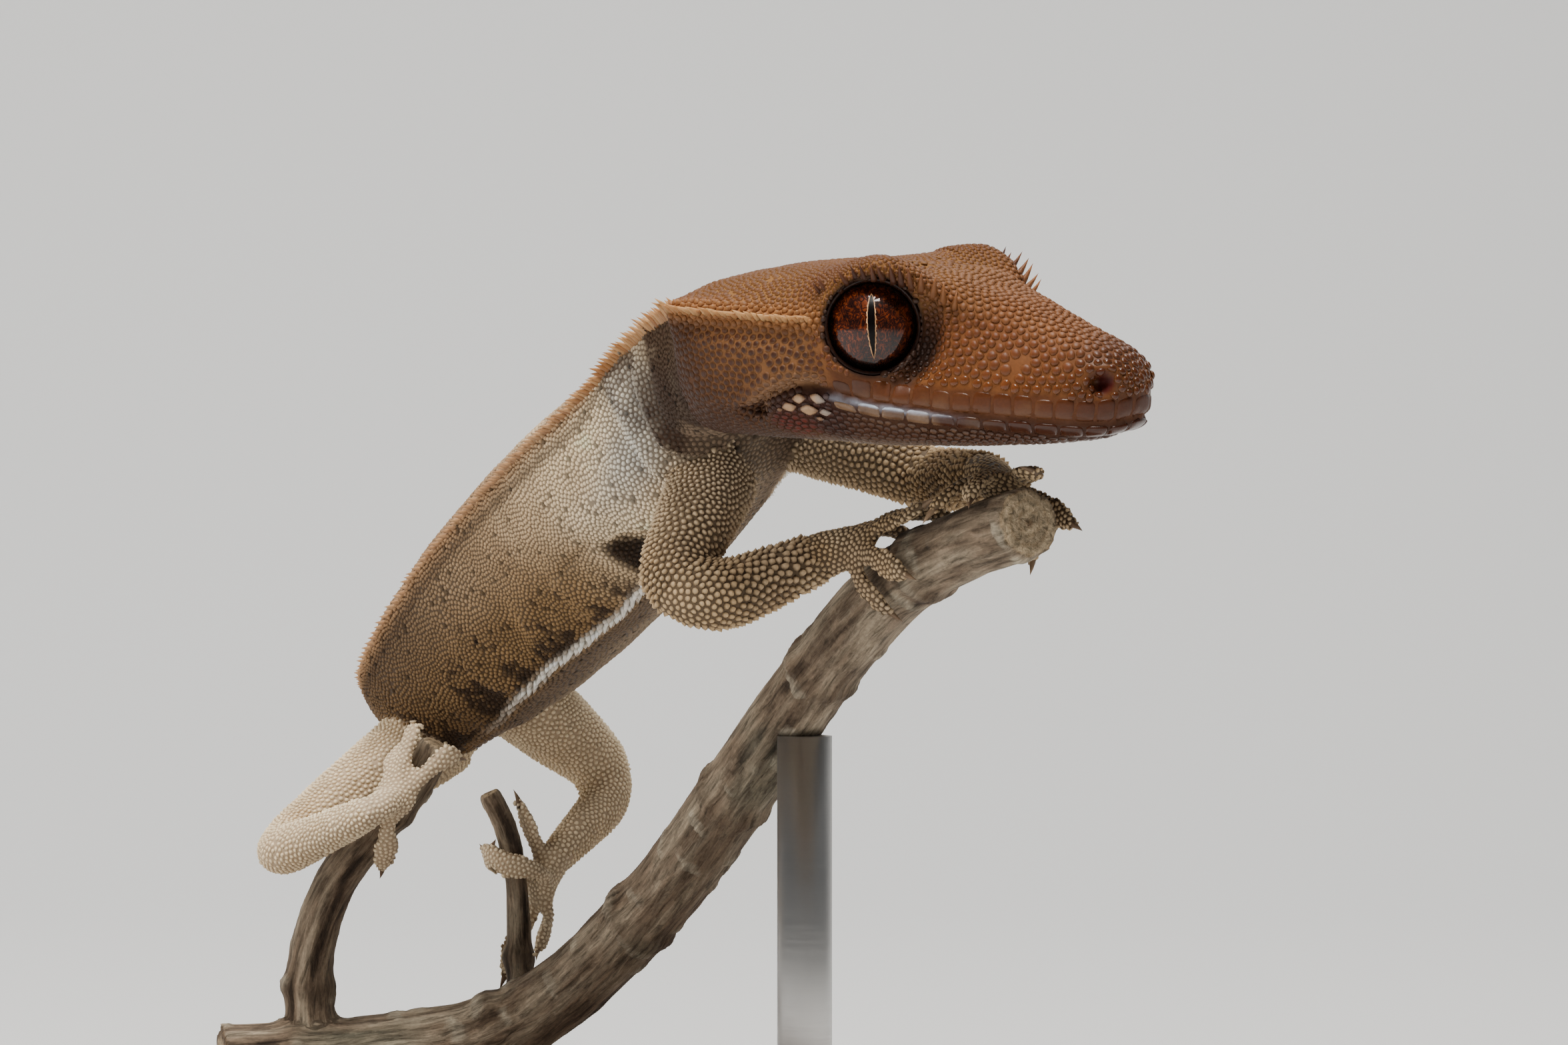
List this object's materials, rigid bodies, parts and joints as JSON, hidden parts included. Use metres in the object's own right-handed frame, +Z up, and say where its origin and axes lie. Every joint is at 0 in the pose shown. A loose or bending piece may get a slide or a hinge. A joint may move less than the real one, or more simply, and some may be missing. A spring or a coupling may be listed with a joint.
{
  "type": "crested gecko model",
  "caption": "Life-size crested gecko climbing on a short forked branch, head turned level, tail curled up, held by steel rods on a round wooden base.",
  "frame": {"origin": "centre of the round base's flat underside", "axes": "+Z up, +X towards the side that the snout points to, the camera of the reference view looks along +Y"},
  "size_m": [0.094, 0.1013, 0.0807],
  "materials": {
    "head_skin": "reddish-brown pebbled scales with a pale net between them, satin, glossy on the snout and lips",
    "body_skin": "fine matte granular scales, grey-beige with dark brown netting low on the flank and a white side line",
    "limb_skin": "matte tan-cream conical granules with dark gaps",
    "eye_gloss": "clear wet gloss over a rust-brown veined iris with a slit pupil",
    "bark": "rough grey-tan bark with fine cracks",
    "base_wood": "dark turned hardwood, satin varnish",
    "rod_steel": "brushed along the rod"
  },
  "bodies": {
    "root": {"head": "head_skin", "jaw": "head_skin", "neck": "body_skin", "chest": "body_skin", "belly": "body_skin", "hips": "body_skin", "tail_root": "body_skin", "tail_tip": "body_skin", "upper_arm_right": "limb_skin", "upper_arm_left": "limb_skin", "forearm_right": "limb_skin", "forearm_left": "limb_skin", "hand_right": "limb_skin", "hand_left": "limb_skin", "thigh_right": "limb_skin", "thigh_left": "limb_skin", "shin_right": "limb_skin", "shin_left": "limb_skin", "foot_right": "limb_skin", "foot_left": "limb_skin", "eye_right": "eye_gloss", "eye_left": "eye_gloss", "perch_branch": "bark", "stand_base": "base_wood", "stand_rod_rear": "rod_steel", "stand_rod_front": "rod_steel"}
  },
  "joints": []
}
